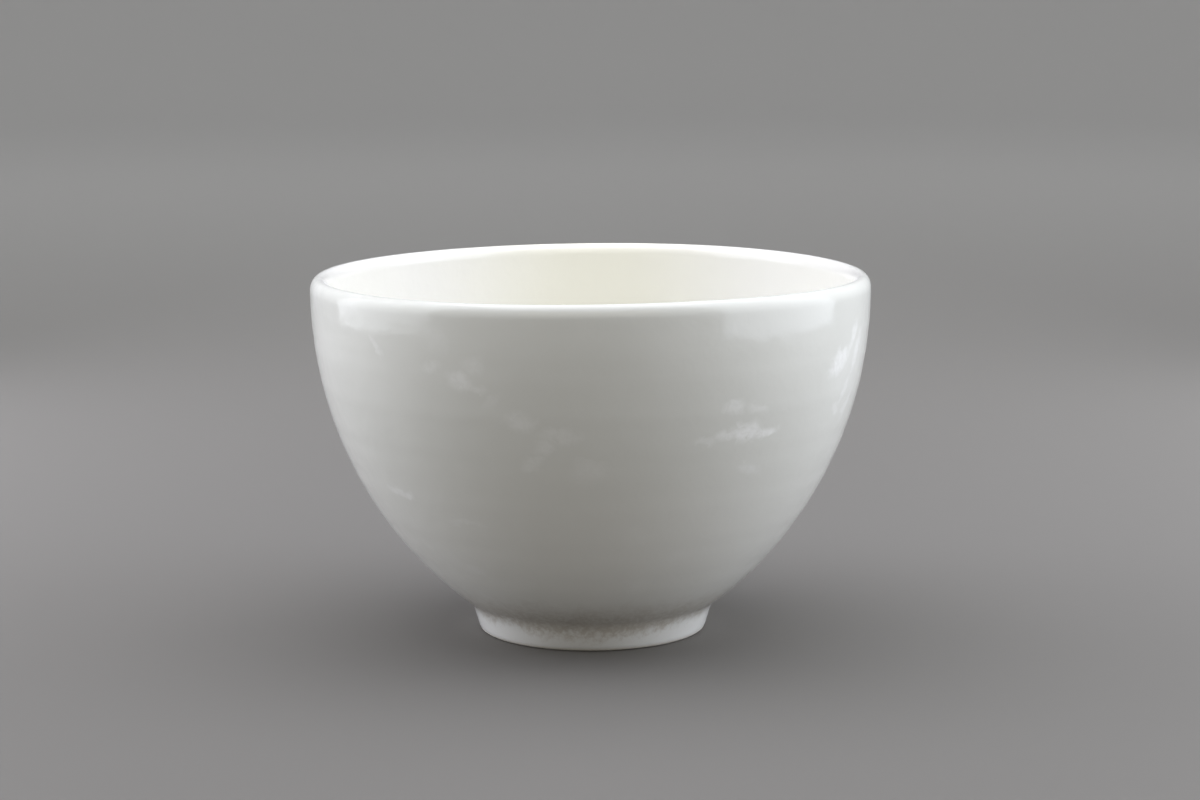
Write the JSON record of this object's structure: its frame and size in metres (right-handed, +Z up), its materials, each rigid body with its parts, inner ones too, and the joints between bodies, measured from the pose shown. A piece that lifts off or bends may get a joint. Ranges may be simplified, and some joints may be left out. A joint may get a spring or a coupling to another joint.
{
  "type": "yunomi teacup",
  "caption": "Wide, low round teacup of pale glazed porcelain with a rounded lip, hollow for tea, standing on a small turned foot ring.",
  "frame": {"origin": "on the ground in the middle of the foot ring", "axes": "+Z up along the axis that the cup was turned on; +Y away from the pictured side; +X to the right in the picture"},
  "size_m": [0.095, 0.095, 0.0614],
  "materials": {
    "glaze": "gloss"
  },
  "bodies": {
    "root": {"cup": "glaze"}
  },
  "joints": []
}
